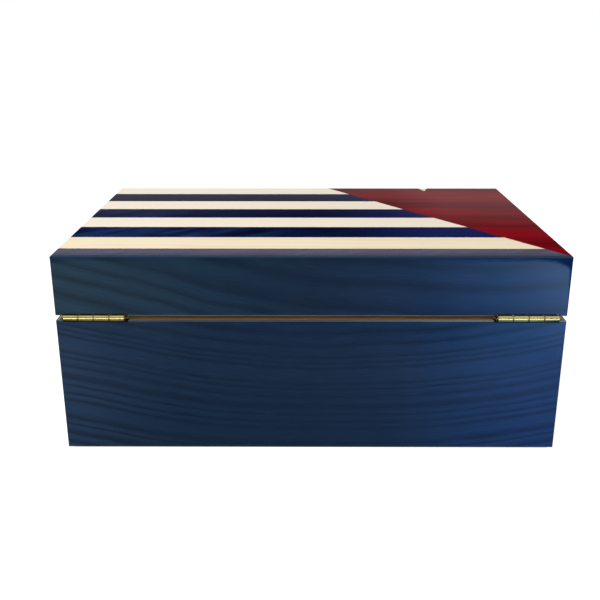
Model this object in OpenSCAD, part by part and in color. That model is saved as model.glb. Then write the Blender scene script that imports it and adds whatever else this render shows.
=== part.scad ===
// Lacquered presentation humidor with a striped, flag-style pattern. The lid turns on two
// quadrant hinges and shuts over a cedar lip. Inside are a lift-out tray, a hygrometer and a
// humidifier.
// Millimetres. +Z is up, the front faces -Y, and the origin is the centre of the felt underside.

/* [Case] */
// Outside width of the case
body_w = 400; // [360:5:440]
// Outside depth of the case, front face to back face
body_d = 266; // [240:2:290]
// Overall height with the lid shut
body_h = 164.5; // [158:0.5:180]
// Height of the joint between base and lid
seam_z = 114.5; // [110:0.5:120]
// Open shadow line between the two rims
seam_gap = 3.8; // [3.4:0.1:4.2]
// Rounding of the lacquered outside edges
edge_r = 0.7; // [0.5:0.1:1.1]

/* [Walls] */
// Dyed veneer with the lacquer on it
skin_t = 1.2; // [1.2:0.1:1.6]
// Solid wood wall behind the veneer
core_t = 12.8; // [12.4:0.1:14]
// Cedar lining boards on the walls
lining_t = 5; // [4:0.5:6]
// Cedar on the floor and on the ceiling
flat_lining_t = 4; // [3:0.5:5]
// Top panel of the lid, under its veneer
top_core_t = 10; // [8:0.5:11]
// Bottom panel of the base
bottom_core_t = 9; // [8:0.5:10]
// Felt under the base
felt_t = 1; // [0.8:0.1:2]
// How far the cedar lip stands above the base's rim
lip_h = 6; // [5:0.5:7]

/* [Pattern] */
// Width of one full band
band_w = 35.3; // [34:0.1:37]
// Width of the part band along the back edge
first_band_w = 23; // [20:0.5:28]
// Sideways reach of the red field for each millimetre from the back edge
field_slope = 0.677; // [0.65:0.001:0.7]
// Centre of the star from the left side
star_inset = 79; // [76:1:84]
// Radius of the star's points
star_r = 62; // [56:1:64]
// How far the star's point runs on to the top
star_over = 15; // [12:0.5:18]

/* [Hinges] */
// Length of the barrel
barrel_l = 48.5; // [46:0.5:50]
// Outside radius of the barrel
barrel_r = 2.7; // [2.6:0.05:2.8]
// Radius of the hinge pin
pin_r = 1.05; // [0.9:0.05:1.2]
// Barrel's outer end from the side of the case
hinge_inset = 6; // [4.5:0.5:6]
// Thickness of a leaf
leaf_t = 1.6; // [1.5:0.1:1.8]
// Width of a leaf's legs
leaf_w = 7.5; // [7:0.1:8]
// Length of a leaf's leg along the side wall, from the pin
side_leg_l = 46; // [44:1:48]
// Radius of the curved stay
stay_r = 30; // [29:0.5:31]
// Width of the stay's band
stay_w = 4; // [3.6:0.1:4.2]
// Thickness of the stay
stay_t = 2; // [1.6:0.1:2.2]
// Radius of the stop head at each end of the stay
stay_head_r = 3.2; // [3:0.1:3.4]
// How far the lid opens, in degrees
lid_open = 95; // [90:1:95]

/* [Tray] */
// Underside of the lift-out tray
tray_z = 73; // [66:1:76]
// Height of the tray
tray_h = 36; // [30:1:38]
// Thickness of the tray's boards
tray_t = 5; // [4:0.5:6]
// Number of floor slats
slat_n = 13; // [9:1:15]
// Gap between two slats
slat_gap = 5; // [4.5:0.5:6]
// Place of the divider, right of the centre
divider_x = 60; // [0:5:100]

/* [Humidity] */
// Centre of the hygrometer, right of the centre
hygro_x = 100; // [90:5:120]
// Radius of the hygrometer's bezel
hygro_r = 26; // [24:1:30]
// Depth of the hygrometer below the ceiling
hygro_h = 10; // [9:1:12]
// Centre of the humidifier, left of the centre
humid_x = -60; // [-80:5:-50]
// Length of the humidifier
humid_l = 170; // [140:5:180]
// Width of the humidifier
humid_w = 52; // [44:2:60]
// Depth of the humidifier below its plate
humid_h = 15; // [12:1:16]

/* [Hidden] */

wall_t = skin_t + core_t;
base_z0 = felt_t;
base_z1 = seam_z - seam_gap / 2;
lid_z0 = seam_z + seam_gap / 2;
lid_z1 = body_h;
top_core_z0 = lid_z1 - skin_t - top_core_t;
bottom_core_z1 = base_z0 + bottom_core_t;
lip_z = base_z1 + lip_h;
lip_clear = 0.4;          // all round between the lip and the lid
lid_rest = 0.2;           // the same where the lid's lining comes down on the lip
lip_chamfer = 1.2;
ceiling_z = top_core_z0 - flat_lining_t;
floor_z = bottom_core_z1 + flat_lining_t;
rabbet_w = 6;             // how far the bottom panel runs into the walls
room_w = body_w - 2 * (wall_t + lining_t);
room_d = body_d - 2 * (wall_t + lining_t);
felt_inset = 2;

knuckle_n = 4;
knuckle_pitch = barrel_l / knuckle_n;
knuckle_gap = 0.2;
knuckle_chamfer = 0.5;
run_clear = 0.06;         // radial clearance of a turning knuckle on the pin
tongue_y = barrel_r + 0.3; // the plate starts this far in front of the pin
leaf_z = 1.0;             // a leaf's inner face above or below the pin
leaf_corner_r = 3;
mortise_clear = 0.1;
barrel_notch = 0.7;       // room round the barrel in the walls
barrel_notch_end = 2.3;   // the notch runs past the barrel's inner end
notch_end_depth = 8;      // its depth there, in front of the pin
stay_x = -leaf_w / 2;     // the stay's plane, from the barrel's outer end
stay_clear = 0.4;
slot_w = stay_w + 2 * stay_clear;
slot_t = stay_t + 0.6;
head_angle = lid_open / 2 + asin((leaf_z + leaf_t + stay_head_r + 0.3) / stay_r);
screw_head_r = 2.2;
screw_r = 1.1;
screw_l = 10;
screw_slot = [0.6, 0.5];
screw_clear = 0.06;       // all round a screw in its leaf
leaf_screws = [
    [-17, -tongue_y - leaf_w / 2],
    [-37, -tongue_y - leaf_w / 2],
    [-leaf_w / 2, -16],
    [-leaf_w / 2, -side_leg_l + 4.5]
];

field_apex = first_band_w + 9.5 * band_w; // from the back edge, round the front edge
star_s = body_d - star_over + star_r;     // the star's centre, measured the same way
wrap_l = body_d + body_h;                 // top and front laid out flat

arc_steps = 4;

SIDES = [-1, 1];

// ---------------------------------------------------------------- shared shapes

// Rectangle from the origin's centre with rounded corners, as a polygon.
module rounded_rect(w, h, r) {
    polygon([
        for (c = [[1, 1, 0], [-1, 1, 90], [-1, -1, 180], [1, -1, 270]])
            for (i = [0 : arc_steps])
                [
                    c[0] * (w / 2 - r) + r * cos(c[2] + 90 * i / arc_steps),
                    c[1] * (h / 2 - r) + r * sin(c[2] + 90 * i / arc_steps)
                ]
    ]);
}

// Block of the case's plan with every outside edge rounded.
module rounded_block(z0, z1) {
    h = z1 - z0;
    translate([0, 0, (z0 + z1) / 2])
        intersection() {
            translate([0, 0, -h / 2]) linear_extrude(h) rounded_rect(body_w, body_d, edge_r);
            rotate([90, 0, 0]) translate([0, 0, -body_d / 2])
                linear_extrude(body_d) rounded_rect(body_w, h, edge_r);
            rotate([90, 0, 90]) translate([0, 0, -body_w / 2])
                linear_extrude(body_w) rounded_rect(body_d, h, edge_r);
        }
}

function side_angle(side) = side == "back" ? 0 : side == "front" ? 180 : side == "right" ? -90 : 90;
function across(side) = side == "back" || side == "front" ? body_w : body_d;
function outward(side) = side == "back" || side == "front" ? body_d : body_w;

// Puts a board, drawn along X with its outer face on y = 0, on one side of the case.
module on_side(side, inset = 0) {
    rotate([0, 0, side_angle(side)])
        translate([0, outward(side) / 2 - inset, 0])
            children();
}

// A board with a [depth, z] profile, mitred at both ends. Depth is measured inwards.
module mitred_board(side, inset, profile) {
    l = across(side) - 2 * inset;
    on_side(side, inset)
        intersection() {
            rotate([90, 0, 90]) translate([0, 0, -l / 2]) linear_extrude(l)
                polygon([for (p = profile) [-p[0], p[1]]]);
            translate([0, 0, -1]) linear_extrude(body_h + 2)
                polygon([[-l / 2, 0], [l / 2, 0], [l / 2 - 50, -50], [-l / 2 + 50, -50]]);
        }
}

function plain(t, z0, z1) = [[0, z0], [t, z0], [t, z1], [0, z1]];

// ---------------------------------------------------------------- hinge: places and pockets

// Hinge frame: the origin is the pin's outer end, X runs inwards as negative, Y forward as
// negative. The left hinge is the right one turned over, so one pattern serves both.
module at_hinge(side) {
    translate([0, body_d / 2, seam_z])
        rotate([0, side > 0 ? 0 : 180, 0])
            translate([body_w / 2 - hinge_inset, 0, 0])
                children();
}

// Plan of a leaf's plate: an L with a rounded corner on its back leg and a round end on its
// side leg.
module leaf_plan(grow = 0) {
    side_l = side_leg_l - tongue_y;
    module leg(size) {
        translate([-size[0] - grow, -size[1] - grow])
            square([size[0] + 2 * grow, size[1] + 2 * grow]);
    }
    module round_at(x, y, r) {
        translate([-x, -y]) circle(r = r + grow, $fn = 48);
    }
    translate([0, -tongue_y]) {
        leg([barrel_l - leaf_corner_r, leaf_w]);
        leg([barrel_l, leaf_w - leaf_corner_r]);
        round_at(barrel_l - leaf_corner_r, leaf_w - leaf_corner_r, leaf_corner_r);
        leg([leaf_w, side_l - leaf_w / 2]);
        round_at(leaf_w / 2, side_l - leaf_w / 2, leaf_w / 2);
    }
}

// Everything that the four hinge leaves, the barrels, the stays and the screws need cut away.
module hinge_pockets() {
    for (side = SIDES)
        at_hinge(side) {
            translate([
                -barrel_l - barrel_notch_end, -tongue_y - mortise_clear, -barrel_r - barrel_notch
            ])
                cube([
                    barrel_l + barrel_notch_end + 0.3, tongue_y + mortise_clear + 5,
                    2 * (barrel_r + barrel_notch)
                ]);
            translate([-barrel_l - barrel_notch_end, -notch_end_depth, -barrel_r - barrel_notch])
                cube([barrel_notch_end, notch_end_depth, 2 * (barrel_r + barrel_notch)]);
            translate([0, 0, -leaf_z - leaf_t]) linear_extrude(2 * (leaf_z + leaf_t))
                leaf_plan(mortise_clear);
            stay_pocket();
            for (p = leaf_screws)
                translate([p[0], p[1], 0])
                    cylinder(r = screw_r, h = 2 * (screw_l + 4), center = true, $fn = 32);
        }
}

// Slot that the stay's band and heads swing in, above and below the seam.
module stay_pocket() {
    reach = stay_head_r + stay_clear;
    t = stay_t + 2 * stay_clear;
    translate([stay_x - t / 2, 0, 0]) rotate([0, 90, 0]) {
        intersection() {
            difference() {
                cylinder(r = stay_r + reach, h = t, $fn = 96);
                translate([0, 0, -1]) cylinder(r = stay_r - reach, h = t + 2, $fn = 96);
            }
            linear_extrude(t)
                polygon([
                    [0, 0],
                    60 * [sin(head_angle), -cos(head_angle)],
                    [0, -70],
                    60 * [-sin(head_angle), -cos(head_angle)]
                ]);
        }
        for (a = [-head_angle, head_angle])
            translate(stay_r * [sin(a), -cos(a), 0]) cylinder(r = reach, h = t, $fn = 48);
    }
}

// ---------------------------------------------------------------- case: walls and panels

module base_wall(side) {
    color("saddlebrown")
        difference() {
            mitred_board(side, skin_t, [
                [0, base_z0], [core_t - rabbet_w, base_z0], [core_t - rabbet_w, bottom_core_z1],
                [core_t, bottom_core_z1], [core_t, base_z1], [0, base_z1]
            ]);
            if (side != "front") hinge_pockets();
        }
}

module base_bottom_panel() {
    w = body_w - 2 * (wall_t - rabbet_w);
    d = body_d - 2 * (wall_t - rabbet_w);
    color("saddlebrown")
        translate([-w / 2, -d / 2, base_z0]) cube([w, d, bottom_core_t]);
}

module base_felt_pad() {
    color("darkolivegreen")
        linear_extrude(felt_t) rounded_rect(body_w - 2 * felt_inset, body_d - 2 * felt_inset, 3);
}

module lid_wall(side) {
    color("saddlebrown")
        difference() {
            mitred_board(side, skin_t, plain(core_t, lid_z0, top_core_z0));
            if (side != "front") hinge_pockets();
        }
}

module lid_top_panel() {
    w = body_w - 2 * skin_t;
    d = body_d - 2 * skin_t;
    color("saddlebrown")
        translate([-w / 2, -d / 2, top_core_z0]) cube([w, d, top_core_t]);
}

// ---------------------------------------------------------------- case: dyed veneers

module base_veneer(side) {
    color("midnightblue")
        difference() {
            intersection() {
                rounded_block(base_z0, base_z1);
                mitred_board(side, 0, plain(skin_t, base_z0, base_z1));
            }
            if (side == "back") hinge_pockets();
        }
}

module lid_veneer(side) {
    color("midnightblue")
        difference() {
            intersection() {
                rounded_block(lid_z0, lid_z1);
                mitred_board(side, 0, plain(skin_t, lid_z0, lid_z1 - skin_t));
            }
            if (side == "back") hinge_pockets();
        }
}

// The pattern is drawn on the top and the front laid out flat: X across the case, and -Y the
// distance from the back edge, forwards over the top and then down the front.
module star_shape() {
    inner = star_r * sin(18) / sin(54);
    translate([-body_w / 2 + star_inset, -star_s])
        polygon([
            for (i = [0 : 9])
                (i % 2 == 0 ? star_r : inner) * [cos(90 + 36 * i), sin(90 + 36 * i)]
        ]);
}

module field_shape() {
    polygon([
        [-body_w / 2, 0],
        [-body_w / 2 + field_slope * field_apex, -field_apex],
        [-body_w / 2, -2 * field_apex]
    ]);
}

// Bands of one colour: parity 0 is navy, starting at the back edge, and parity 1 is cream.
module band_shapes(parity) {
    last = ceil((wrap_l - first_band_w) / band_w);
    difference() {
        for (k = [parity : 2 : last]) {
            near = k == 0 ? 0 : first_band_w + (k - 1) * band_w;
            far = first_band_w + k * band_w;
            translate([-body_w / 2, -far]) square([body_w, far - near]);
        }
        field_shape();
        star_shape();
    }
}

module pattern(kind) {
    if (kind == "navy") band_shapes(0);
    if (kind == "cream") band_shapes(1);
    if (kind == "red")
        difference() {
            field_shape();
            star_shape();
        }
    if (kind == "star") star_shape();
}

module top_inlay(kind) {
    intersection() {
        rounded_block(lid_z0, lid_z1);
        translate([0, body_d / 2, lid_z1 - skin_t]) linear_extrude(skin_t)
            intersection() {
                translate([-body_w / 2, -body_d]) square([body_w, body_d]);
                pattern(kind);
            }
    }
}

module front_inlay(kind, z0, z1, block_z0, block_z1) {
    intersection() {
        rounded_block(block_z0, block_z1);
        mitred_board("front", 0, plain(skin_t, z0, z1));
        translate([0, -body_d / 2 + skin_t, lid_z1 + body_d]) rotate([90, 0, 0])
            linear_extrude(skin_t) pattern(kind);
    }
}

module lid_inlay(kind) {
    top_inlay(kind);
    front_inlay(kind, lid_z0, lid_z1 - skin_t, lid_z0, lid_z1);
}

module base_inlay(kind) {
    front_inlay(kind, base_z0, base_z1, base_z0, base_z1);
}

module lid_cream_bands() { color("wheat") lid_inlay("cream"); }
module lid_navy_bands() { color("midnightblue") lid_inlay("navy"); }
module lid_red_fields() { color("darkred") lid_inlay("red"); }
module lid_star() { color("wheat") lid_inlay("star"); }
module base_cream_bands() { color("wheat") base_inlay("cream"); }
module base_navy_bands() { color("midnightblue") base_inlay("navy"); }
module base_red_field() { color("darkred") base_inlay("red"); }
module base_star() { color("wheat") base_inlay("star"); }

// ---------------------------------------------------------------- cedar lining

module base_lining(side) {
    color("peru")
        mitred_board(side, wall_t, [
            [0, bottom_core_z1], [lining_t, bottom_core_z1], [lining_t, lip_z - lip_chamfer / 3],
            [lining_t - lip_chamfer / 3, lip_z], [lip_clear + lip_chamfer, lip_z],
            [lip_clear, lip_z - lip_chamfer], [lip_clear, base_z1], [0, base_z1]
        ]);
}

module base_floor_lining() {
    color("peru")
        translate([-room_w / 2, -room_d / 2, bottom_core_z1]) cube([room_w, room_d, flat_lining_t]);
}

module lid_lining(side) {
    color("peru")
        mitred_board(side, wall_t, [
            [0, lip_z + lid_rest], [lining_t - lip_chamfer / 3, lip_z + lid_rest],
            [lining_t, lip_z + lid_rest + lip_chamfer / 3], [lining_t, ceiling_z], [0, ceiling_z]
        ]);
}

module lid_ceiling_lining() {
    w = body_w - 2 * wall_t;
    d = body_d - 2 * wall_t;
    color("peru")
        translate([-w / 2, -d / 2, ceiling_z]) cube([w, d, flat_lining_t]);
}

// ---------------------------------------------------------------- quadrant hinges

// One leaf. Knuckles "first" and "first + 2" from the outer end are its own. The plate lies on
// the +Z side of the pin, or on the -Z side when up is -1.
module leaf(first, up, bore_r) {
    plate_z = up > 0 ? leaf_z : -leaf_z - leaf_t;
    module knuckle(k) {
        l = knuckle_pitch - knuckle_gap;
        translate([-(k + 1) * knuckle_pitch + knuckle_gap / 2, 0, 0]) rotate([0, 90, 0])
            rotate_extrude($fn = 64)
                polygon([
                    [bore_r, 0], [barrel_r - knuckle_chamfer, 0], [barrel_r, knuckle_chamfer],
                    [barrel_r, l - knuckle_chamfer], [barrel_r - knuckle_chamfer, l], [bore_r, l]
                ]);
    }
    module tongue(k) {
        difference() {
            translate([-(k + 1) * knuckle_pitch + knuckle_gap / 2, -tongue_y - 1, plate_z])
                cube([knuckle_pitch - knuckle_gap, tongue_y + 1, leaf_t]);
            translate([-barrel_l - 1, 0, 0]) rotate([0, 90, 0])
                cylinder(r = bore_r, h = barrel_l + 2, $fn = 48);
        }
    }
    color("goldenrod")
        difference() {
            union() {
                translate([0, 0, plate_z]) linear_extrude(leaf_t) leaf_plan();
                for (k = [first, first + 2]) {
                    knuckle(k);
                    tongue(k);
                }
            }
            translate([stay_x - slot_t / 2, -stay_r - slot_w / 2, -5])
                cube([slot_t, slot_w, 10]);
            for (p = leaf_screws) translate([p[0], p[1], 0]) screw_seat(up);
        }
}

// Countersunk hole through a leaf; the head's face is the side towards the pin.
module screw_seat(up) {
    head_r = screw_head_r + screw_clear;
    hole_r = screw_r + screw_clear;
    rotate([up > 0 ? 0 : 180, 0, 0]) {
        translate([0, 0, leaf_z - screw_clear])
            cylinder(r1 = head_r + screw_clear, r2 = hole_r, h = head_r + screw_clear - hole_r, $fn = 32);
        translate([0, 0, leaf_z]) cylinder(r = hole_r, h = leaf_t + 1, $fn = 32);
    }
}

module screw() {
    difference() {
        union() {
            cylinder(r1 = screw_head_r, r2 = screw_r, h = screw_head_r - screw_r, $fn = 32);
            cylinder(r = screw_r, h = screw_l - 2, $fn = 32);
            translate([0, 0, screw_l - 2]) cylinder(r1 = screw_r, r2 = 0.2, h = 2, $fn = 32);
        }
        translate([-screw_head_r, -screw_slot[0] / 2, -1])
            cube([2 * screw_head_r, screw_slot[0], 1 + screw_slot[1]]);
    }
}

// The screws of both leaves above or below the seam.
module leaf_screw_set(up) {
    color("goldenrod")
        for (side = SIDES)
            at_hinge(side)
                for (p = leaf_screws)
                    translate([p[0], p[1], 0])
                        rotate([up * side > 0 ? 0 : 180, 0, 35 * p[0]])
                            translate([0, 0, leaf_z]) screw();
}

module right_upper_leaf() { at_hinge(1) leaf(0, 1, pin_r + run_clear); }
module right_lower_leaf() { at_hinge(1) leaf(1, -1, pin_r); }
module left_upper_leaf() { at_hinge(-1) leaf(1, -1, pin_r + run_clear); }
module left_lower_leaf() { at_hinge(-1) leaf(0, 1, pin_r); }

module hinge_pin(side) {
    color("goldenrod")
        at_hinge(side) translate([-barrel_l, 0, 0]) rotate([0, 90, 0])
            cylinder(r = pin_r, h = barrel_l, $fn = 48);
}

// Curved stay: a band round the pin's axis with a stop head at each end.
module stay(side) {
    color("goldenrod")
        at_hinge(side) translate([stay_x - stay_t / 2, 0, 0]) rotate([0, 90, 0]) {
            intersection() {
                difference() {
                    cylinder(r = stay_r + stay_w / 2, h = stay_t, $fn = 96);
                    translate([0, 0, -1]) cylinder(r = stay_r - stay_w / 2, h = stay_t + 2, $fn = 96);
                }
                linear_extrude(stay_t)
                    polygon([
                        [0, 0],
                        60 * [sin(head_angle), -cos(head_angle)],
                        [0, -70],
                        60 * [-sin(head_angle), -cos(head_angle)]
                    ]);
            }
            for (a = [-head_angle, head_angle])
                translate(stay_r * [sin(a), -cos(a), 0]) cylinder(r = stay_head_r, h = stay_t, $fn = 48);
        }
}

// ---------------------------------------------------------------- tray

tray_w = room_w - 2;
tray_d = room_d - 2;
slat_t = 4;
slat_seat = 2.5;
ledge = [6, 9];
dado = 2;
divider_t = 4;
grip = [80, 16];

module tray_ledges() {
    color("peru")
        for (s = SIDES)
            translate([s * (room_w / 2 - ledge[0] / 2) - ledge[0] / 2, -room_d / 2, tray_z - ledge[1]])
                cube([ledge[0], room_d, ledge[1]]);
}

// Long board at the front (s = -1) or the back (s = 1), with a seat for the slats and a dado.
module tray_long_board(s) {
    color("peru")
        difference() {
            rotate([90, 0, 90]) translate([0, 0, -tray_w / 2]) linear_extrude(tray_w)
                polygon([
                    for (p = [
                        [0, 0], [tray_t - slat_seat, 0], [tray_t - slat_seat, slat_t], [tray_t, slat_t],
                        [tray_t, tray_h - 1], [tray_t - 1, tray_h], [1, tray_h], [0, tray_h - 1]
                    ])
                        [s * (tray_d / 2 - p[0]), tray_z + p[1]]
                ]);
            translate([divider_x - divider_t / 2, s * (tray_d / 2 - tray_t) - dado, tray_z + slat_t])
                cube([divider_t, 2 * dado, tray_h]);
        }
}

// End board between the long ones, with a finger slot through it.
module tray_end_board(s) {
    l = tray_d - 2 * tray_t;
    color("peru")
        translate([s * (tray_w / 2 - tray_t / 2) - tray_t / 2, 0, tray_z]) rotate([90, 0, 90])
            linear_extrude(tray_t)
                difference() {
                    translate([-l / 2, 0]) square([l, tray_h - 1]);
                    translate([0, tray_h - 14]) {
                        square([grip[0] - grip[1], grip[1]], center = true);
                        for (e = SIDES)
                            translate([e * (grip[0] - grip[1]) / 2, 0]) circle(d = grip[1], $fn = 48);
                    }
                }
}

module tray_slats() {
    inner = tray_w - 2 * tray_t;
    w = (inner - (slat_n + 1) * slat_gap) / slat_n;
    l = tray_d - 2 * (tray_t - slat_seat);
    color("peru")
        for (i = [0 : slat_n - 1])
            translate([-inner / 2 + slat_gap + i * (w + slat_gap), -l / 2, tray_z])
                cube([w, l, slat_t]);
}

module tray_divider() {
    l = tray_d - 2 * (tray_t - dado);
    color("peru")
        translate([divider_x - divider_t / 2, -l / 2, tray_z + slat_t])
            cube([divider_t, l, tray_h - slat_t - 3]);
}

// ---------------------------------------------------------------- hygrometer and humidifier

dial_r = hygro_r - 4;
fit = 0.06;               // radial clearance of the case and the lens in the bezel
bezel_lip = 1.6;

module at_hygrometer() {
    translate([hygro_x, 0, ceiling_z]) children();
}

module hygrometer_case() {
    color("gray")
        at_hygrometer() translate([0, 0, -hygro_h + 4])
            difference() {
                cylinder(r = hygro_r - 2 - fit, h = hygro_h - 4, $fn = 96);
                translate([0, 0, -1]) cylinder(r = dial_r, h = 3, $fn = 96);
            }
}

// Turned ring that holds the lens over the dial.
module hygrometer_bezel() {
    color("goldenrod")
        at_hygrometer() rotate_extrude($fn = 96)
            polygon([
                [hygro_r - 2, 0], [hygro_r, 0], [hygro_r, -hygro_h + 3], [hygro_r - 1, -hygro_h + 0.8],
                [hygro_r - 2.4, -hygro_h], [dial_r - bezel_lip, -hygro_h + 0.8],
                [dial_r - bezel_lip, -hygro_h + 1.6], [dial_r, -hygro_h + 1.6],
                [dial_r, -hygro_h + 4], [hygro_r - 2, -hygro_h + 4]
            ]);
}

module hygrometer_dial() {
    color("white")
        at_hygrometer() translate([0, 0, -hygro_h + 5])
            difference() {
                cylinder(r = dial_r - 0.2, h = 1, $fn = 96);
                translate([0, 0, -1]) cylinder(r = 1.2, h = 3, $fn = 32);
            }
}

// Pointer with its counterweight and spindle.
module hygrometer_needle() {
    color("black")
        at_hygrometer() {
            translate([0, 0, -hygro_h + 4]) cylinder(r = 1, h = 2, $fn = 32);
            translate([0, 0, -hygro_h + 3.6]) cylinder(r = 2.2, h = 0.8, $fn = 48);
            translate([0, 0, -hygro_h + 3.8]) linear_extrude(0.4)
                polygon([
                    [-0.9, 0], [-0.3, -dial_r + 4], [0.3, -dial_r + 4], [0.9, 0], [1.6, 7], [-1.6, 7]
                ]);
        }
}

module hygrometer_lens() {
    color("lightcyan", 0.4)
        at_hygrometer() translate([0, 0, -hygro_h + 1.6]) cylinder(r = dial_r - fit, h = 1.2, $fn = 96);
}

plate_t = 1.5;
humid_wall = 2;
foam_size = [humid_l - 2 * humid_wall - 0.6, humid_w - 2 * humid_wall - 0.6];
grille_n = 15;

module at_humidifier() {
    translate([humid_x, 0, ceiling_z]) children();
}

// Steel plate on the ceiling, which the case's magnets hold on to.
module humidifier_plate() {
    color("silver")
        at_humidifier() translate([0, 0, -plate_t]) linear_extrude(plate_t)
            rounded_rect(foam_size[0], foam_size[1], 3);
}

// Open-backed case with a slotted face.
module humidifier_case() {
    pitch = (humid_l - 24) / grille_n;
    color("dimgray")
        at_humidifier() translate([0, 0, -plate_t - humid_h])
            difference() {
                linear_extrude(humid_h + plate_t) rounded_rect(humid_l, humid_w, 5);
                translate([0, 0, humid_wall]) linear_extrude(humid_h + plate_t)
                    rounded_rect(humid_l - 2 * humid_wall, humid_w - 2 * humid_wall, 3);
                for (i = [0 : grille_n - 1])
                    translate([(i - (grille_n - 1) / 2) * pitch - 1.5, -humid_w / 2 + 9, -1])
                        cube([3, humid_w - 18, humid_wall + 2]);
            }
}

module humidifier_foam() {
    color("darkslategray")
        at_humidifier() translate([0, 0, -plate_t - humid_h + humid_wall])
            linear_extrude(humid_h - humid_wall) rounded_rect(foam_size[0], foam_size[1], 3);
}

// ---------------------------------------------------------------- nodes

base_wall("front");  // base_front_wall
base_wall("back");  // base_back_wall
base_wall("left");  // base_left_wall
base_wall("right");  // base_right_wall
base_bottom_panel();
base_felt_pad();
base_veneer("back");  // base_back_veneer
base_veneer("left");  // base_left_veneer
base_veneer("right");  // base_right_veneer
base_cream_bands();
base_navy_bands();
base_red_field();
base_star();
base_lining("front");  // base_front_lining
base_lining("back");  // base_back_lining
base_lining("left");  // base_left_lining
base_lining("right");  // base_right_lining
base_floor_lining();
left_lower_leaf();
right_lower_leaf();
hinge_pin(-1);  // left_hinge_pin
hinge_pin(1);  // right_hinge_pin
leaf_screw_set(-1);  // lower_leaf_screws
tray_ledges();
tray_long_board(-1);  // tray_front
tray_long_board(1);  // tray_back
tray_end_board(-1);  // tray_left_end
tray_end_board(1);  // tray_right_end
tray_slats();
tray_divider();
lid_wall("front");  // lid_front_wall
lid_wall("back");  // lid_back_wall
lid_wall("left");  // lid_left_wall
lid_wall("right");  // lid_right_wall
lid_top_panel();
lid_veneer("back");  // lid_back_veneer
lid_veneer("left");  // lid_left_veneer
lid_veneer("right");  // lid_right_veneer
lid_cream_bands();
lid_navy_bands();
lid_red_fields();
lid_star();
lid_lining("front");  // lid_front_lining
lid_lining("back");  // lid_back_lining
lid_lining("left");  // lid_left_lining
lid_lining("right");  // lid_right_lining
lid_ceiling_lining();
left_upper_leaf();
right_upper_leaf();
leaf_screw_set(1);  // upper_leaf_screws
stay(-1);  // left_stay
stay(1);  // right_stay
hygrometer_case();
hygrometer_bezel();
hygrometer_dial();
hygrometer_needle();
hygrometer_lens();
humidifier_plate();
humidifier_case();
humidifier_foam();
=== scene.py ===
import math

import bmesh
import bpy
from mathutils import Matrix, Vector


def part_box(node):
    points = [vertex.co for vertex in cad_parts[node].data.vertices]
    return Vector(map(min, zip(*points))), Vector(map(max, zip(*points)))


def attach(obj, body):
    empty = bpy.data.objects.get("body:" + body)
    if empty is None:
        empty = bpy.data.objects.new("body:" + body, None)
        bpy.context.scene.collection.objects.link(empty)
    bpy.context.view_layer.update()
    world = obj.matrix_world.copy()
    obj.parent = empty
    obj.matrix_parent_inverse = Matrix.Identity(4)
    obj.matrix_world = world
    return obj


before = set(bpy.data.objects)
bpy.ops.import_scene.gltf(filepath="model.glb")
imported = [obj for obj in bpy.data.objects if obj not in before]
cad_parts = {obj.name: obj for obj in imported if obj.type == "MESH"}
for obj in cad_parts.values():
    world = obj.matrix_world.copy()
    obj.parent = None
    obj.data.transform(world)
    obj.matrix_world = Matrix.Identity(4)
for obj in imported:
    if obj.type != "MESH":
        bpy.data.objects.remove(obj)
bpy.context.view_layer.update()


# ---- Camera ----------------------------------------------------------------------------------------
# The case is seen from behind, so the camera stands on the +Y side and looks towards -Y, a little
# down, with the hinges facing it. The frame is square.

eye = (0.0063, 0.7350, 0.3365)
down_degrees, turn_degrees = 18.97, 180.217
focal_pixels, frame_pixels, sensor_mm = 820.4, 600, 36

camera = bpy.data.objects.new("camera", bpy.data.cameras.new("camera"))
camera.data.sensor_width = sensor_mm
camera.data.lens = focal_pixels / frame_pixels * sensor_mm
camera.location = eye
camera.rotation_euler = (math.radians(90 - down_degrees), 0, math.radians(turn_degrees))
bpy.context.scene.collection.objects.link(camera)
bpy.context.scene.camera = camera
bpy.context.scene.view_settings.view_transform = "Standard"


# ---- Veneer on the back and the sides --------------------------------------------------------------
# Sheets of blue dyed ash-like veneer, 1.2 mm thick, glued to the walls with mitred corners under a
# thick, polished clear lacquer. The growth rings show as wide arcs that hang like a slack rope.

def rgb(hex_colour):
    """An sRGB hex colour as linear RGBA."""
    channels = [int(hex_colour[i:i + 2], 16) / 255 for i in (1, 3, 5)]
    return tuple(c / 12.92 if c <= 0.04045 else ((c + 0.055) / 1.055) ** 2.4 for c in channels) + (1,)


def new_material(name):
    """An empty node material."""
    material = bpy.data.materials.new(name)
    material.use_nodes = True
    material.node_tree.nodes.clear()
    return material


def add(owner, kind, inputs=None, **settings):
    """Adds one node and returns it. Inputs are values, or output sockets to link from."""
    tree = owner.node_tree
    node = tree.nodes.new(kind)
    for key, value in settings.items():
        setattr(node, key, value)
    for key, value in (inputs or {}).items():
        if isinstance(value, bpy.types.NodeSocket):
            tree.links.new(value, node.inputs[key])
        else:
            node.inputs[key].default_value = value
    return node


def shades(material, factor, stops):
    """The factor turned into colours through (position, hex colour) stops."""
    ramp = add(material, "ShaderNodeValToRGB", {0: factor})
    points = ramp.color_ramp.elements
    while len(points) < len(stops):
        points.new(0.5)
    for point, (position, colour) in zip(points, stops):
        point.position = position
        point.color = rgb(colour)
    return ramp.outputs[0]


def blend(material, factor, first, second, kind="MIX"):
    """Two colours mixed by a factor."""
    mix = add(material, "ShaderNodeMix", {0: factor, 6: first, 7: second}, data_type="RGBA", blend_type=kind)
    return mix.outputs[2]


def paint(material, *nodes):
    """Gives the material to CAD nodes."""
    for name in nodes:
        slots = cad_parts[name].data.materials
        slots.clear()
        slots.append(material)


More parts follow.
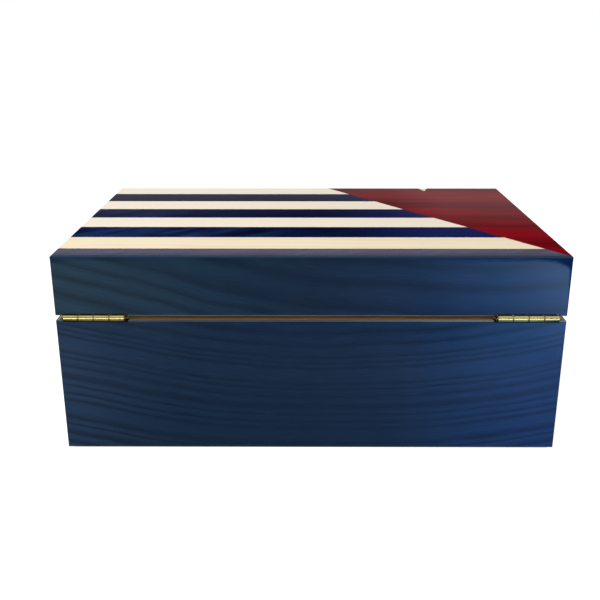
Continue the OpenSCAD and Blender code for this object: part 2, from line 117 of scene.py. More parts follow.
def growth_rings(material, centre, squeeze, pitch, wander, pore=0.0006, streak=0.02, seed=0.0, uneven=3.2):
    """Wood figure on Object coordinates, each output about 0 to 1: (ring, veins, pores, strength).
    The rings are circles round the centre once the coordinates are squeezed, about pitch apart, and
    noise bends them by up to half of wander. Uneven makes some years wider than others. Ring climbs
    from 0 to 1 over each year's growth, veins are thin lines along it, pores are flecks as wide as
    pore and as long as streak, and strength says how sharply the years show, in patches. The bends
    are about 143 mm across and the patches 91 mm."""
    bend_size, patch_size = 1 / 7, 1 / 11
    spot = add(material, "ShaderNodeTexCoord").outputs["Object"]
    drift = add(material, "ShaderNodeTexNoise", {
        "Vector": spot, "Scale": 1 / bend_size, "Detail": 2.0}).outputs
    push = add(material, "ShaderNodeVectorMath", {0: drift["Color"], 1: (0.5, 0.5, 0.5)},
               operation="SUBTRACT").outputs[0]
    bent = add(material, "ShaderNodeVectorMath", {0: push, 1: (wander,) * 3, 2: spot},
               operation="MULTIPLY_ADD").outputs[0]
    arm = add(material, "ShaderNodeVectorMath", {0: bent, 1: centre}, operation="SUBTRACT").outputs[0]
    arm = add(material, "ShaderNodeVectorMath", {0: arm, 1: squeeze}, operation="MULTIPLY").outputs[0]
    radius = add(material, "ShaderNodeVectorMath", {0: arm}, operation="LENGTH").outputs["Value"]

    # Counted in years: wide and narrow years come in spells of about three, and a vein is about a
    # third of a year wide.
    years = add(material, "ShaderNodeMath", {0: radius, 1: 1 / pitch, 2: seed},
                operation="MULTIPLY_ADD").outputs[0]
    weather = add(material, "ShaderNodeTexNoise", {"W": years, "Scale": 0.35, "Detail": 1.0},
                  noise_dimensions="1D").outputs[0]
    years = add(material, "ShaderNodeMath", {0: weather, 1: uneven, 2: years},
                operation="MULTIPLY_ADD").outputs[0]
    ring = add(material, "ShaderNodeMath", {0: years}, operation="FRACT").outputs[0]
    veins = add(material, "ShaderNodeTexNoise", {"W": years, "Scale": 3.0, "Detail": 3.0, "Roughness": 0.7},
                noise_dimensions="1D").outputs[0]

    across = add(material, "ShaderNodeMath", {0: radius, 1: 1 / pore}, operation="MULTIPLY").outputs[0]
    run = add(material, "ShaderNodeVectorMath", {0: bent, 1: (1 / streak,) * 3},
              operation="MULTIPLY").outputs[0]
    run = add(material, "ShaderNodeSeparateXYZ", {0: run}).outputs
    along = add(material, "ShaderNodeMath", {0: run[0], 1: run[1]}, operation="ADD").outputs[0]
    lane = add(material, "ShaderNodeCombineXYZ", {0: across, 1: along}).outputs[0]
    pores = add(material, "ShaderNodeTexNoise", {"Vector": lane, "Scale": 1.0, "Detail": 2.0},
                noise_dimensions="2D").outputs[0]
    cloud = add(material, "ShaderNodeTexNoise", {
        "Vector": spot, "Scale": 1 / patch_size, "Detail": 1.0}).outputs[0]
    strength = add(material, "ShaderNodeMapRange", {0: cloud, 1: 0.35, 2: 0.65}).outputs[0]
    return ring, veins, pores, strength


def figured(material, figure, ground, late, faint=0.25, vein=0.3, pore_dark="#606060"):
    """Colour of a figured wood: a ground colour, late wood lines in another, and soft fine streaks.
    Faint is what is left of a line where the years show least, and vein how far the veins show."""
    ring, veins, pores, strength = figure
    line = shades(material, ring, [
        (0.0, "#bcbcbc"), (0.12, "#000000"), (0.45, "#000000"), (0.86, "#ffffff"), (1.0, "#bcbcbc"),
    ])
    shown = add(material, "ShaderNodeMapRange", {0: strength, 3: faint, 4: 1.0}).outputs[0]
    line = add(material, "ShaderNodeMath", {0: line, 1: shown}, operation="MULTIPLY").outputs[0]
    wood = blend(material, line, rgb(ground), rgb(late))
    streaks = shades(material, veins, [(0.3, "#505050"), (0.7, "#c4c4c4")])
    wood = blend(material, vein, wood, streaks, "SOFT_LIGHT")
    fleck = shades(material, pores, [(0.3, pore_dark), (0.55, "#808080"), (0.75, "#b0b0b0")])
    return blend(material, 0.5, wood, fleck, "SOFT_LIGHT")


base_low, base_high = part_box("base_back_veneer")
lid_low, lid_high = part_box("lid_back_veneer")
foot_z = base_low[2]
seam_z = (base_high[2] + lid_low[2]) / 2
half_gap = lid_low[2] - seam_z


def lacquered(material, colour, pores):
    """Polished clear polyester lacquer, IOR 1.5, over dyed wood. The lacquer has sunk a little into
    the pores; the wood under it stays dull. Along the rims and the foot a pale line about 0.5 mm
    wide is painted into the colour as the highlight of the rounded edges there. The base's rim
    line is painted fainter than the lid's, and strongest towards its -X end."""
    # Painted highlight of the rounded edges: a pale line along the rims and the foot.
    highlight_core, highlight_fade = 0.0002, 0.0006
    foot_highlight_core, foot_highlight_fade = 0.0003, 0.0012
    place = add(material, "ShaderNodeTexCoord").outputs["Object"]
    sides = add(material, "ShaderNodeSeparateXYZ", {0: place}).outputs
    up = sides[2]
    base_rim_highlight = add(material, "ShaderNodeMapRange", {
        0: sides[0], 1: 0.0, 2: -0.16, 3: 0.05, 4: 0.45}).outputs[0]
    rim_highlight_strength = add(material, "ShaderNodeMapRange", {
        0: up, 1: seam_z - half_gap / 2, 2: seam_z + half_gap / 2, 3: base_rim_highlight, 4: 0.55}).outputs[0]
    rim_highlight = add(material, "ShaderNodeMath", {0: up, 1: seam_z}, operation="SUBTRACT").outputs[0]
    rim_highlight = add(material, "ShaderNodeMath", {0: rim_highlight}, operation="ABSOLUTE").outputs[0]
    rim_highlight = add(material, "ShaderNodeMapRange", {
        0: rim_highlight, 1: half_gap + highlight_fade, 2: half_gap + highlight_core, 4: rim_highlight_strength}).outputs[0]
    foot_highlight = add(material, "ShaderNodeMapRange", {
        0: up, 1: foot_z + foot_highlight_fade, 2: foot_z + foot_highlight_core, 4: 0.16}).outputs[0]
    painted_edge_highlight = add(material, "ShaderNodeMath", {0: rim_highlight, 1: foot_highlight}, operation="MAXIMUM").outputs[0]
    colour = blend(material, painted_edge_highlight, colour, rgb("#9fb0b0"))
    pore = {"Height": pores, "Distance": 0.0002}
    sunk = add(material, "ShaderNodeBump", {**pore, "Strength": 0.012}).outputs[0]
    grain = add(material, "ShaderNodeBump", {**pore, "Strength": 0.12}).outputs[0]
    shader = add(material, "ShaderNodeBsdfPrincipled", {
        "Base Color": colour, "Roughness": 0.6, "Specular IOR Level": 0.0, "Normal": grain,
        "Coat Weight": 1.0, "Coat Roughness": 0.02, "Coat IOR": 1.5, "Coat Normal": sunk,
    })
    add(material, "ShaderNodeOutputMaterial", {0: shader.outputs[0]})


back_y = lid_high[1]
half_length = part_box("lid_right_veneer")[1][0]


def blue_veneer(name, ring_x, ring_z, pitch, wander, faint, dye_and_sheen):
    """The rings' centre is high above the back. The figure is sharper towards the ends of the case.
    The colour turns greener towards the +X end and a brighter blue towards the -X end, a little
    differently on base and lid, partly as uneven dye and partly as a painted sheen of the lacquer:
    its stops run from the -X end to the +X end."""
    veneer = new_material(name)
    ring, veins, pores, strength = growth_rings(
        veneer, (ring_x, back_y, ring_z), (1, 0.5, 1), pitch, wander, uneven=2.0)
    across = add(veneer, "ShaderNodeTexCoord").outputs["Object"]
    across = add(veneer, "ShaderNodeSeparateXYZ", {0: across}).outputs[0]
    out = add(veneer, "ShaderNodeMath", {0: across}, operation="ABSOLUTE").outputs[0]
    out = add(veneer, "ShaderNodeMapRange", {0: out, 1: 0.02, 2: 0.16, 3: -0.25, 4: 0.75}).outputs[0]
    strength = add(veneer, "ShaderNodeMath", {0: strength, 1: 0.5, 2: out}, operation="MULTIPLY_ADD",
                   use_clamp=True).outputs[0]
    wood = figured(veneer, (ring, veins, pores, strength), "#28456e", "#1c3254", faint, vein=0.1,
                   pore_dark="#6c6c6c")
    ends = add(veneer, "ShaderNodeMapRange", {0: across, 1: -half_length, 2: half_length}).outputs[0]
    # The uneven dye and the painted sheen multiply the wood's colour from end to end.
    lacquered(veneer, blend(veneer, 1.0, wood, shades(veneer, ends, dye_and_sheen), "MULTIPLY"), pores)
    return veneer


base_blue = blue_veneer(
    "blue_dyed_veneer_base", ring_x=-0.015, ring_z=0.9, pitch=0.008, wander=0.01, faint=0.2, dye_and_sheen=[
        (0.05, "#a8cff4"), (0.18, "#b2cede"), (0.32, "#b8b8b4"), (0.5, "#b6b0a5"),
        (0.76, "#a6afa2"), (0.9, "#b2b9b0"), (1.0, "#d4d2c2"),
    ])
lid_blue = blue_veneer(
    "blue_dyed_veneer_lid", ring_x=-0.12, ring_z=1.05, pitch=0.0145, wander=0.016, faint=0.45, dye_and_sheen=[
        (0.0, "#86adde"), (0.15, "#9db5d1"), (0.3, "#c0bcba"), (0.5, "#bfae9d"),
        (0.7, "#c2c0a8"), (1.0, "#dcdfb6"),
    ])
paint(base_blue, "base_back_veneer", "base_left_veneer", "base_right_veneer")
paint(lid_blue, "lid_back_veneer", "lid_left_veneer", "lid_right_veneer")


# ---- Inlaid bands, field and star ------------------------------------------------------------------
# Cream, navy and red dyed veneers, knife cut and taped edge to edge, then pressed on the top and
# the front. Their grain runs straight from side to side. The same lacquer covers them.

straight = dict(centre=(0, 3, -3), squeeze=(0.06, 1, 1))

# Only the cream band nearest the hinges is warm: the sheet of the others, beyond the navy band
# between them, was bleached paler.
warm_y, pale_y = 0.07, 0.045

cream = new_material("cream_bleached_veneer_lacquered")
figure = growth_rings(cream, pitch=0.011, wander=0.02, streak=0.05, seed=3.0, **straight)
wood = figured(cream, figure, "#f7ebd3", "#f1e2c6", vein=0.12, pore_dark="#747474")
place = add(cream, "ShaderNodeTexCoord").outputs["Object"]
paler = add(cream, "ShaderNodeSeparateXYZ", {0: place}).outputs[1]
paler = add(cream, "ShaderNodeMapRange", {0: paler, 1: warm_y, 2: pale_y, 4: 0.85}).outputs[0]
wood = blend(cream, paler, wood, rgb("#f6ecda"))
lacquered(cream, wood, figure[2])
paint(cream, "base_cream_bands", "base_star", "lid_cream_bands", "lid_star")

navy = new_material("navy_dyed_veneer_lacquered")
figure = growth_rings(navy, pitch=0.02, wander=0.12, streak=0.05, seed=11.0, **straight)
wood = figured(navy, figure, "#0a1545", "#070e2e", faint=0.4, vein=0.5)

# Flame figure: slanting patches, 60 mm by 14 mm, where the fibres rise to the surface and take the
# light. The sheet is plainer towards its -X end and towards the front of the lid.
flame_size, flame_lean = (0.06, 0.014, 0.06), 0.6
place = add(navy, "ShaderNodeTexCoord").outputs["Object"]
sides = add(navy, "ShaderNodeSeparateXYZ", {0: place}).outputs
flame = add(navy, "ShaderNodeMapping", {0: place, "Rotation": (0, 0, flame_lean), "Scale": flame_size},
            vector_type="TEXTURE").outputs[0]
flame = add(navy, "ShaderNodeTexNoise", {
    "Vector": flame, "Scale": 1.0, "Detail": 3.0, "Roughness": 0.6, "Distortion": 0.4}).outputs[0]
lit = add(navy, "ShaderNodeMapRange", {0: flame, 1: 0.38, 2: 0.66}).outputs[0]
aslant = add(navy, "ShaderNodeMath", {0: sides[0], 1: sides[1]}, operation="ADD").outputs[0]
plain = add(navy, "ShaderNodeMapRange", {0: aslant, 1: 0.045, 2: 0.165, 3: 0.1, 4: 0.85}).outputs[0]
front = add(navy, "ShaderNodeMapRange", {0: sides[1], 1: -0.08, 2: 0.0}).outputs[0]
plain = add(navy, "ShaderNodeMath", {0: plain, 1: front}, operation="MULTIPLY").outputs[0]
lit = add(navy, "ShaderNodeMath", {0: lit, 1: plain}, operation="MULTIPLY").outputs[0]
wood = blend(navy, lit, wood, rgb("#1c3060"))

# The dye is a little more violet towards the -X end.
violet = add(navy, "ShaderNodeMapRange", {0: sides[0], 1: -0.02, 2: -0.1, 4: 0.8}).outputs[0]
wood = blend(navy, violet, wood, rgb("#182057"))

# The part band along the back edge, 23 mm wide, is painted pale and greyish as a reflection in the
# lacquer there. It is painted darker again over its last 14 mm, and its rounded arris, the last
# 3.5 mm, is painted in the dark blue of the back as shade. All are measured in from the back, and
# the band's limit, 25 mm, falls under the cream band next to it.
part_band, darkens, arris_w = 0.025, (0.014, 0.003), (0.0035, 0.001)
inset = add(navy, "ShaderNodeMath", {0: back_y, 1: sides[1]}, operation="SUBTRACT").outputs[0]
first_band = add(navy, "ShaderNodeMath", {0: inset, 1: part_band}, operation="LESS_THAN").outputs[0]
painted_reflection_grey = shades(navy, flame, [(0.3, "#525260"), (0.5, "#575769"), (0.7, "#5f5e75")])
wood = blend(navy, first_band, wood, painted_reflection_grey)
painted_edge_shade = add(navy, "ShaderNodeMapRange", {0: inset, 1: darkens[0], 2: darkens[1], 4: 0.5}).outputs[0]
wood = blend(navy, painted_edge_shade, wood, rgb("#2c3348"))
painted_arris_shade = add(navy, "ShaderNodeMapRange", {0: inset, 1: arris_w[0], 2: arris_w[1]}).outputs[0]
wood = blend(navy, painted_arris_shade, wood, rgb("#152a40"))
lacquered(navy, wood, figure[2])
paint(navy, "base_navy_bands", "lid_navy_bands")

red = new_material("red_dyed_veneer_lacquered")
figure = growth_rings(red, pitch=0.03, wander=0.03, streak=0.06, seed=23.0, **straight)
wood = figured(red, figure, "#9d0c22", "#880913", faint=0.3, vein=0.2)

# The dye took unevenly, in streaks about 200 mm by 25 mm. The colour is also a little darker towards the
# front.
place = add(red, "ShaderNodeTexCoord").outputs["Object"]
cloud = add(red, "ShaderNodeMapping", {0: place, "Scale": (0.2, 0.025, 0.025)},
            vector_type="TEXTURE").outputs[0]
cloud = add(red, "ShaderNodeTexNoise", {"Vector": cloud, "Scale": 1.0, "Detail": 2.0}).outputs[0]
wood = blend(red, 1.0, wood, shades(red, cloud, [(0.35, "#a8a8a8"), (0.65, "#ffffff")]), "MULTIPLY")
darker = add(red, "ShaderNodeSeparateXYZ", {0: place}).outputs[1]
darker = add(red, "ShaderNodeMapRange", {0: darker, 1: 0.05, 2: -0.13}).outputs[0]
wood = blend(red, darker, wood, rgb("#e9e9e9"), "MULTIPLY")
lacquered(red, wood, figure[2])
paint(red, "base_red_field", "lid_red_fields")


# ---- Walls and panels ------------------------------------------------------------------------------
# Solid brown hardwood, 12.8 mm thick, mitred at the corners. Only its rims show, in the joint
# between base and lid, planed and thinly oiled.

def oiled(material, colour, pores, roughness):
    """Open-grained timber with the pores left unfilled."""
    grain = add(material, "ShaderNodeBump", {
        "Height": pores, "Strength": 0.35, "Distance": 0.0003}).outputs[0]
    shader = add(material, "ShaderNodeBsdfPrincipled", {
        "Base Color": colour, "Roughness": roughness, "IOR": 1.5, "Specular IOR Level": 0.35,
        "Normal": grain,
    })
    add(material, "ShaderNodeOutputMaterial", {0: shader.outputs[0]})


# Each hinge barrel lies in a notch 3 mm longer than its pin, with its middle 1.2 mm nearer the
# case's middle, that reaches 8.5 mm in from the pin's outer side; its shadow is painted on the timber.
pin_low, pin_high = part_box("left_hinge_pin")
notch_l = pin_high[0] - pin_low[0] + 0.003
notch_x = abs(pin_high[0] + pin_low[0]) / 2 - 0.0012
notch_y = pin_high[1] - 0.0085


def wall_timber(name, centre, squeeze):
    """The notches that the hinge barrels lie in are painted nearly black as their shadow."""
    timber = new_material(name)
    figure = growth_rings(timber, centre, squeeze, pitch=0.004, wander=0.01, seed=5.0)
    wood = figured(timber, figure, "#c2a87f", "#a88a63", pore_dark="#404040")
    place = add(timber, "ShaderNodeTexCoord").outputs["Object"]
    sides = add(timber, "ShaderNodeSeparateXYZ", {0: place}).outputs
    along = add(timber, "ShaderNodeMath", {0: sides[0]}, operation="ABSOLUTE").outputs[0]
    along = add(timber, "ShaderNodeMath", {0: along, 1: notch_x, 2: notch_l / 2},
                operation="COMPARE").outputs[0]
    deep = add(timber, "ShaderNodeMath", {0: sides[1], 1: notch_y}, operation="GREATER_THAN").outputs[0]
    painted_notch_shadow = add(timber, "ShaderNodeMath", {0: along, 1: deep}, operation="MULTIPLY").outputs[0]
    # Painted shadow in the barrels' notches: the timber there is made nearly black.
    wood = blend(timber, painted_notch_shadow, wood, rgb("#26180e"))
    oiled(timber, wood, figure[2], 0.5)
    return timber


# Each board's grain runs along its length, so there is a timber along X and one along Y.
along_x = dict(centre=(0, 2, -2), squeeze=(0.05, 1, 1))
along_y = dict(centre=(2, 0, -2), squeeze=(1, 0.05, 1))
paint(wall_timber("mahogany_planed_long_grain", **along_x),
      "base_front_wall", "base_back_wall", "base_bottom_panel",
      "lid_front_wall", "lid_back_wall", "lid_top_panel")
paint(wall_timber("mahogany_planed_side_grain", **along_y),
      "base_left_wall", "base_right_wall", "lid_left_wall", "lid_right_wall")


# ---- Cedar lining, lip and tray --------------------------------------------------------------------
# Bare Spanish cedar boards, 4 and 5 mm thick, planed and left without any finish so that they can
# take up moisture. The base's lining stands up as a lip, and the tray is made from the same boards.

def cedar(name, centre, squeeze, seed):
    """Rings 6 mm apart, plain to see, and short open pores."""
    board = new_material(name)
    figure = growth_rings(board, centre, squeeze, pitch=0.006, wander=0.03, pore=0.0005,
                          streak=0.012, seed=seed)
    wood = figured(board, figure, "#cf9c72", "#b57c52", vein=0.5, pore_dark="#3c3c3c")
    oiled(board, wood, figure[2], 0.72)
    return board


paint(cedar("cedar_planed_long_grain", seed=2.0, **along_x),
      "base_front_lining", "base_back_lining", "base_floor_lining",
      "lid_front_lining", "lid_back_lining", "lid_ceiling_lining", "tray_front", "tray_back")
paint(cedar("cedar_planed_side_grain", seed=7.0, **along_y),
      "base_left_lining", "base_right_lining", "lid_left_lining", "lid_right_lining",
      "tray_ledges", "tray_left_end", "tray_right_end", "tray_slats", "tray_divider")


# ---- Felt pad --------------------------------------------------------------------------------------
# Pressed wool felt, 1 mm thick, glued under the base. Its matted fibres give a soft, uneven nap.
# They are drawn 0.7 mm thick, far coarser than real ones, so that the nap shows.

fibre = 0.0007
felt = new_material("pressed_wool_felt")
spot = add(felt, "ShaderNodeTexCoord").outputs["Object"]
fibres = add(felt, "ShaderNodeTexNoise", {
    "Vector": spot, "Scale": 1 / fibre, "Detail": 4.0, "Roughness": 0.7}).outputs[0]
nap = add(felt, "ShaderNodeBump", {"Height": fibres, "Strength": 0.6, "Distance": 0.0004}).outputs[0]
shader = add(felt, "ShaderNodeBsdfPrincipled", {
    "Base Color": shades(felt, fibres, [(0.3, "#0e1512"), (0.7, "#25302b")]),
    "Roughness": 0.95, "Specular IOR Level": 0.1, "Sheen Weight": 0.4, "Sheen Roughness": 0.5, "Normal": nap,
})
add(felt, "ShaderNodeOutputMaterial", {0: shader.outputs[0]})
paint(felt, "base_felt_pad")


# ---- Quadrant hinges -------------------------------------------------------------------------------
# Cast and turned brass: leaves let into the rims, knuckles on a pin, a curved stay in a slot and
# countersunk screws. Polished, then handled, so it is bright with a faint haze and fine scratches.
# The scratches are drawn 0.25 mm wide, coarser than real ones, so that they show.

scratch_size, haze_size = (0.01 / 3, 0.00025, 0.00025), 0.00625
brass = new_material("polished_brass")
spot = add(brass, "ShaderNodeTexCoord").outputs["Object"]
scratch = add(brass, "ShaderNodeMapping", {0: spot, "Scale": scratch_size},
              vector_type="TEXTURE").outputs[0]
scratch = add(brass, "ShaderNodeTexNoise", {"Vector": scratch, "Scale": 1.0, "Detail": 2.0}).outputs[0]
haze = add(brass, "ShaderNodeTexNoise", {"Vector": spot, "Scale": 1 / haze_size, "Detail": 3.0}).outputs[0]
fine = add(brass, "ShaderNodeBump", {"Height": scratch, "Strength": 0.06, "Distance": 0.0001}).outputs[0]
shader = add(brass, "ShaderNodeBsdfPrincipled", {
    "Base Color": shades(brass, haze, [(0.3, "#e8d892"), (0.7, "#f6e7a2")]),
    "Metallic": 1.0,
    "Roughness": add(brass, "ShaderNodeMapRange", {0: haze, 1: 0.3, 2: 0.7, 3: 0.16, 4: 0.26}).outputs[0],
    "Normal": fine,
})
add(brass, "ShaderNodeOutputMaterial", {0: shader.outputs[0]})
paint(brass, "left_lower_leaf", "right_lower_leaf", "left_upper_leaf", "right_upper_leaf",
      "left_hinge_pin", "right_hinge_pin", "lower_leaf_screws", "upper_leaf_screws",
      "left_stay", "right_stay", "hygrometer_bezel")


# ---- Hygrometer ------------------------------------------------------------------------------------
# A bought dial gauge on the lid's ceiling: pressed steel case, turned brass bezel, flat glass, a
# printed card and a black pointer. The scale is printed, so it is only 0.06 mm thick.

# Zinc crystals about 2 mm wide, each a little darker and smoother in its middle.
crystal = 0.002
steel = new_material("pressed_zinc_plated_steel")
spot = add(steel, "ShaderNodeTexCoord").outputs["Object"]
spangle = add(steel, "ShaderNodeTexVoronoi", {"Vector": spot, "Scale": 1 / crystal}).outputs["Distance"]
shader = add(steel, "ShaderNodeBsdfPrincipled", {
    "Base Color": shades(steel, spangle, [(0.0, "#a6a8a6"), (1.0, "#c6c7c3")]),
    "Metallic": 1.0,
    "Roughness": add(steel, "ShaderNodeMapRange", {0: spangle, 3: 0.32, 4: 0.45}).outputs[0],
})
add(steel, "ShaderNodeOutputMaterial", {0: shader.outputs[0]})
paint(steel, "hygrometer_case", "humidifier_plate")

# Uncoated card: matt, warm white and faintly mottled by flocks of its pulp, about 1 mm wide.
flock = 0.0011
card = new_material("printed_dial_card")
spot = add(card, "ShaderNodeTexCoord").outputs["Object"]
pulp = add(card, "ShaderNodeTexNoise", {"Vector": spot, "Scale": 1 / flock, "Detail": 3.0}).outputs[0]
shader = add(card, "ShaderNodeBsdfPrincipled", {
    "Base Color": shades(card, pulp, [(0.3, "#e9e4d6"), (0.7, "#f4f0e4")]), "Roughness": 0.7,
})
add(card, "ShaderNodeOutputMaterial", {0: shader.outputs[0]})
paint(card, "hygrometer_dial")

# Enamel on the pointer and in the print: nearly black, clouded every 1.4 mm, with a low sheen.
cloud_size = 0.0014
ink = new_material("black_enamel")
spot = add(ink, "ShaderNodeTexCoord").outputs["Object"]
cloud = add(ink, "ShaderNodeTexNoise", {"Vector": spot, "Scale": 1 / cloud_size, "Detail": 2.0}).outputs[0]
shader = add(ink, "ShaderNodeBsdfPrincipled", {
    "Base Color": shades(ink, cloud, [(0.3, "#0c0c0e"), (0.7, "#18181b")]), "Roughness": 0.4,
})
add(ink, "ShaderNodeOutputMaterial", {0: shader.outputs[0]})
paint(ink, "hygrometer_needle")

# Polished and clear, so that only what it mirrors shows.
glass = new_material("clear_flat_glass")
shader = add(glass, "ShaderNodeBsdfPrincipled", {
    "Base Color": rgb("#f6fbfa"), "Roughness": 0.0, "IOR": 1.5, "Transmission Weight": 1.0,
})
add(glass, "ShaderNodeOutputMaterial", {0: shader.outputs[0]})
paint(glass, "hygrometer_lens")

dial_low, dial_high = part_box("hygrometer_dial")
dial_x, dial_y = (dial_low[0] + dial_high[0]) / 2, (dial_low[1] + dial_high[1]) / 2
print_t = 0.00006
print_z = dial_low[2] - print_t / 2
sweep = math.radians(270)
tick_r = (dial_high[0] - dial_low[0]) / 2 - 0.0036
long_tick, short_tick = (0.0003, 0.0022, print_t), (0.00018, 0.0013, print_t)
figure_r, figure_h = tick_r - 0.0032, 0.0042


def add_mesh(name, shape, material, body):
    """A finished bmesh as a piece that rides on a body."""
    bmesh.ops.recalc_face_normals(shape, faces=shape.faces)
    mesh = bpy.data.meshes.new(name)
    shape.to_mesh(mesh)
    shape.free()
    mesh.materials.append(material)
    piece = bpy.data.objects.new(name, mesh)
    bpy.context.scene.collection.objects.link(piece)
    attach(piece, body)


# The scale runs from 0 to 100 percent over three quarters of a turn, with a long tick every 10.
scale = bmesh.new()
centre = Matrix.Translation((dial_x, dial_y, print_z))
for percent in range(0, 101, 2):
    size = long_tick if percent % 10 == 0 else short_tick
    turn = Matrix.Rotation(sweep * (percent / 100 - 0.5), 4, "Z")
    out = Matrix.Translation((0, -tick_r - size[1] / 2, 0)) @ Matrix.Diagonal((*size, 1))
    bmesh.ops.create_cube(scale, size=1.0, matrix=centre @ turn @ out)
add_mesh("hygrometer_scale", scale, ink, "lid")

for percent in range(0, 101, 20):
    text = bpy.data.curves.new("figure", "FONT")
    text.body = str(percent)
    text.size = figure_h
    text.extrude = print_t / 2
    text.align_x = "CENTER"
    text.align_y = "CENTER"
    holder = bpy.data.objects.new("figure", text)
    bpy.context.scene.collection.objects.link(holder)
    bpy.context.view_layer.update()
    figure = bmesh.new()
    figure.from_mesh(holder.to_mesh())
    bpy.data.objects.remove(holder)
    angle = sweep * (percent / 100 - 0.5)
    spot = (dial_x + figure_r * math.sin(angle), dial_y - figure_r * math.cos(angle), print_z)
    face_down = Matrix.Rotation(math.pi, 4, "X")
    bmesh.ops.transform(figure, verts=figure.verts, matrix=Matrix.Translation(spot) @ face_down)
    bmesh.ops.remove_doubles(figure, verts=figure.verts, dist=1e-7)
    add_mesh(f"hygrometer_figure_{percent}", figure, ink, "lid")


# ---- Humidifier ------------------------------------------------------------------------------------
# A moulded black ABS case with a slotted face, filled with open-cell foam that holds water. It
# clings by magnets to a steel plate on the ceiling. The moulding has a fine spark-eroded texture,
# drawn 0.4 mm wide so that it shows.

erosion_size = 0.0004
plastic = new_material("moulded_black_abs")
spot = add(plastic, "ShaderNodeTexCoord").outputs["Object"]
erosion = add(plastic, "ShaderNodeTexNoise", {
    "Vector": spot, "Scale": 1 / erosion_size, "Detail": 2.0}).outputs[0]
rough = add(plastic, "ShaderNodeBump", {"Height": erosion, "Strength": 0.25, "Distance": 0.0001}).outputs[0]
shader = add(plastic, "ShaderNodeBsdfPrincipled", {
    "Base Color": shades(plastic, erosion, [(0.3, "#0d0d0e"), (0.7, "#161617")]),
    "Roughness": 0.48, "Normal": rough,
})
add(plastic, "ShaderNodeOutputMaterial", {0: shader.outputs[0]})
paint(plastic, "humidifier_case")

# Cells about 1 mm wide: dark green pits between paler walls.
cell = 0.0011
foam = new_material("open_cell_foam")
spot = add(foam, "ShaderNodeTexCoord").outputs["Object"]
cells = add(foam, "ShaderNodeTexVoronoi", {"Vector": spot, "Scale": 1 / cell}).outputs["Distance"]
pits = add(foam, "ShaderNodeBump", {"Height": cells, "Strength": 0.9, "Distance": 0.0006}).outputs[0]
shader = add(foam, "ShaderNodeBsdfPrincipled", {
    "Base Color": shades(foam, cells, [(0.0, "#2c4a3a"), (0.6, "#5d8a70")]),
    "Roughness": 0.95, "Normal": pits,
})
add(foam, "ShaderNodeOutputMaterial", {0: shader.outputs[0]})
paint(foam, "humidifier_foam")


# ---- Floor, sky and lamps --------------------------------------------------------------------------
# A white floor that runs into a white surround. Polished surfaces see a dim room instead, bright
# only high up, so that the lacquer keeps the depth of its colours.

floor_reach = 10
floor_shape = bmesh.new()
bmesh.ops.create_grid(floor_shape, x_segments=1, y_segments=1, size=floor_reach)
floor_mesh = bpy.data.meshes.new("floor")
floor_shape.to_mesh(floor_mesh)
floor_shape.free()
floor = bpy.data.objects.new("floor", floor_mesh)
bpy.context.scene.collection.objects.link(floor)

white = new_material("white_paper_floor")
path = add(white, "ShaderNodeLightPath").outputs

# The camera sees paper that glows white and keeps a quarter of its shadows.
paper = add(white, "ShaderNodeBsdfDiffuse", {0: rgb("#f2f2f2")}).outputs[0]
glow = add(white, "ShaderNodeEmission", {0: (1, 1, 1, 1), 1: 1.28}).outputs[0]
seen = add(white, "ShaderNodeMixShader", {0: 0.25, 1: glow, 2: paper}).outputs[0]

# What the lacquer mirrors, painted into the floor as a glow that only polished surfaces see: a
# sheet of card with slanted sides and rounded corners, with a cool lamp's light from the -X side
# painted on it. Its tones fan out from a point 0.46 m beyond the middle of the case.
card_depth, card_half_width, card_slant, card_corner = 0.688, 0.164, 0.322, 0.05
fan_root = 0.461
spot = add(white, "ShaderNodeTexCoord").outputs["Object"]
signed = add(white, "ShaderNodeSeparateXYZ", {0: spot}).outputs
beside = add(white, "ShaderNodeMath", {0: signed[0]}, operation="ABSOLUTE").outputs[0]
before = add(white, "ShaderNodeMath", {0: signed[1]}, operation="ABSOLUTE").outputs[0]
fan = add(white, "ShaderNodeMath", {0: before, 1: fan_root}, operation="ADD").outputs[0]
fan = add(white, "ShaderNodeMath", {0: signed[0], 1: fan}, operation="DIVIDE").outputs[0]
far = add(white, "ShaderNodeMath", {0: before, 1: 0.2}, operation="MULTIPLY").outputs[0]
lit = add(white, "ShaderNodeMath", {0: far, 1: fan}, operation="SUBTRACT").outputs[0]
lit = add(white, "ShaderNodeMapRange", {0: lit, 1: -0.35, 2: 0.45}).outputs[0]
room = shades(white, lit, [
    (0.15, "#595957"), (0.31, "#474845"), (0.475, "#222324"), (0.59, "#222324"), (0.77, "#36434f"),
    (0.80, "#4a6274"), (0.845, "#5a7c95"), (0.89, "#6893b0"), (0.94, "#86b0d2"), (1.0, "#a8d8ff"),
])
side = add(white, "ShaderNodeMath", {0: before, 1: -card_slant, 2: beside},
           operation="MULTIPLY_ADD").outputs[0]
past = add(white, "ShaderNodeCombineXYZ", {0: side, 1: before}).outputs[0]
corner = (card_half_width - card_corner, card_depth - card_corner, 0)
past = add(white, "ShaderNodeVectorMath", {0: past, 1: corner}, operation="SUBTRACT").outputs[0]
past = add(white, "ShaderNodeVectorMath", {0: past, 1: (0, 0, 0)}, operation="MAXIMUM").outputs[0]
past = add(white, "ShaderNodeVectorMath", {0: past}, operation="LENGTH").outputs["Value"]
bench = add(white, "ShaderNodeMath", {0: past, 1: card_corner}, operation="GREATER_THAN").outputs[0]

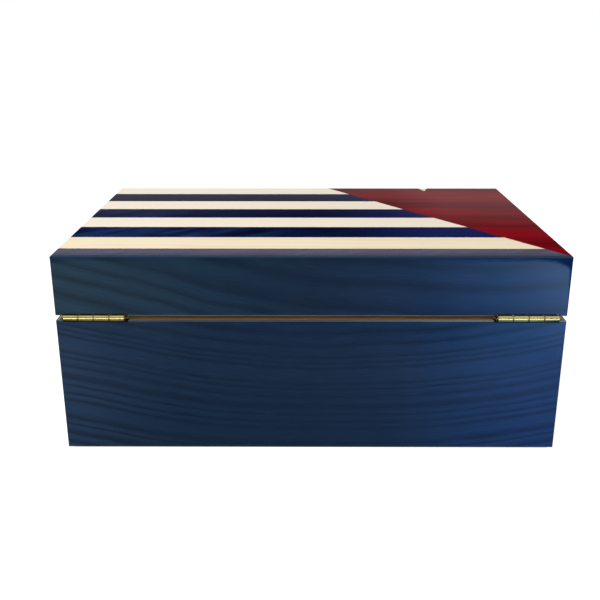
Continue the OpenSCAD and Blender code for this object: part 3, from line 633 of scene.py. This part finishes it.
# Nearer than 0.39 m the card fades to greyer tones, painted as the case's shade. Round it a dark
# bench is painted, before the front of the case a plain grey one, and from 0.78 m away a pale room.
# All of it glows dimmer close by, as painted shade.
painted_case_shade = add(white, "ShaderNodeMapRange", {0: before, 1: 0.39, 2: 0.3}).outputs[0]
room = blend(white, painted_case_shade, room, shades(white, lit, [
    (0.13, "#6f6f6b"), (0.25, "#4e4e4b"), (0.49, "#323334"), (0.6, "#3a3c3f"), (0.74, "#58656d"),
    (0.87, "#7c95a4"),
]))
room = blend(white, bench, room, rgb("#121214"))
plain = add(white, "ShaderNodeMapRange", {0: signed[1], 1: 0.0, 2: -0.12}).outputs[0]
room = blend(white, plain, room, rgb("#404042"))
beyond = add(white, "ShaderNodeMapRange", {0: before, 1: 0.78, 2: 0.85}).outputs[0]
room = blend(white, beyond, room, rgb("#d0d0d0"))
bright = add(white, "ShaderNodeMapRange", {0: before, 1: 0.15, 2: 0.5, 3: 0.9, 4: 2.4}).outputs[0]
mirrored = add(white, "ShaderNodeEmission", {0: room, 1: bright}).outputs[0]
other = add(white, "ShaderNodeMixShader", {0: path["Is Glossy Ray"], 1: paper, 2: mirrored}).outputs[0]
shader = add(white, "ShaderNodeMixShader", {0: path["Is Camera Ray"], 1: other, 2: seen})
add(white, "ShaderNodeOutputMaterial", {0: shader.outputs[0]})
floor_mesh.materials.append(white)

# The mirrored room is grey where it meets the floor, nearly black 14 degrees up and bright from
# 27 degrees up. The dark part leans down towards the -X side and steps up again at a corner there.
world = bpy.data.worlds.new("studio")
bpy.context.scene.world = world
world.use_nodes = True
world.node_tree.nodes.clear()
path = add(world, "ShaderNodeLightPath").outputs
gaze = add(world, "ShaderNodeTexCoord").outputs["Generated"]
height = add(world, "ShaderNodeVectorMath", {0: gaze, 1: (-0.02, 0, 1)},
             operation="DOT_PRODUCT").outputs["Value"]
beside = add(world, "ShaderNodeSeparateXYZ", {0: gaze}).outputs[0]
beside = add(world, "ShaderNodeMapRange", {0: beside, 1: -0.1, 2: -0.17, 4: 0.019}).outputs[0]
height = add(world, "ShaderNodeMath", {0: height, 1: beside}, operation="SUBTRACT").outputs[0]
room = shades(world, height, [
    (0.0, "#7c7c7c"), (0.19, "#6e6e6e"), (0.1985, "#5f5f5f"), (0.2055, "#565656"), (0.2138, "#3c3c3c"),
    (0.224, "#191919"), (0.25, "#0c0c0c"), (0.34, "#262626"), (0.46, "#a0a0a0"), (0.8, "#c4c4c4"),
    (1.0, "#c8c8c8"),
])
ambient = add(world, "ShaderNodeBackground", {0: (1, 1, 1, 1), 1: 0.5}).outputs[0]
mirrored = add(world, "ShaderNodeBackground", {0: room, 1: 1.0}).outputs[0]
backdrop = add(world, "ShaderNodeBackground", {0: (1, 1, 1, 1), 1: 1.0}).outputs[0]
other = add(world, "ShaderNodeMixShader", {0: path["Is Glossy Ray"], 1: ambient, 2: mirrored}).outputs[0]
sky = add(world, "ShaderNodeMixShader", {0: path["Is Camera Ray"], 1: other, 2: backdrop})
add(world, "ShaderNodeOutputWorld", {0: sky.outputs[0]})


def softbox(name, location, target, size, watts, mirrored=False):
    """A soft panel of a given width and height that faces a point."""
    lamp = bpy.data.lights.new(name, "AREA")
    lamp.shape = "RECTANGLE"
    lamp.size, lamp.size_y = size
    lamp.energy = watts
    panel = bpy.data.objects.new(name, lamp)
    panel.location = location
    panel.rotation_euler = (Vector(location) - Vector(target)).to_track_quat("Z", "Y").to_euler()
    panel.visible_glossy = mirrored
    bpy.context.scene.collection.objects.link(panel)


softbox("overhead_panel", (0.75, 0.05, 1.4), (0.1, 0.05, 0), (1.4, 1.0), 21.5)
softbox("key_panel", (-0.95, 1.15, 0.8), (-0.15, 0.1, 0.1), (0.7, 0.7), 5)
softbox("front_fill_panel", (0.0, 1.7, 0.35), (0, 0.1, 0.1), (1.6, 0.4), 5.6)
softbox("strip_panel", (0.1, 1.7, 0.1), (0, 0.1, 0.1), (2.0, 0.2), 4.2, mirrored=True)
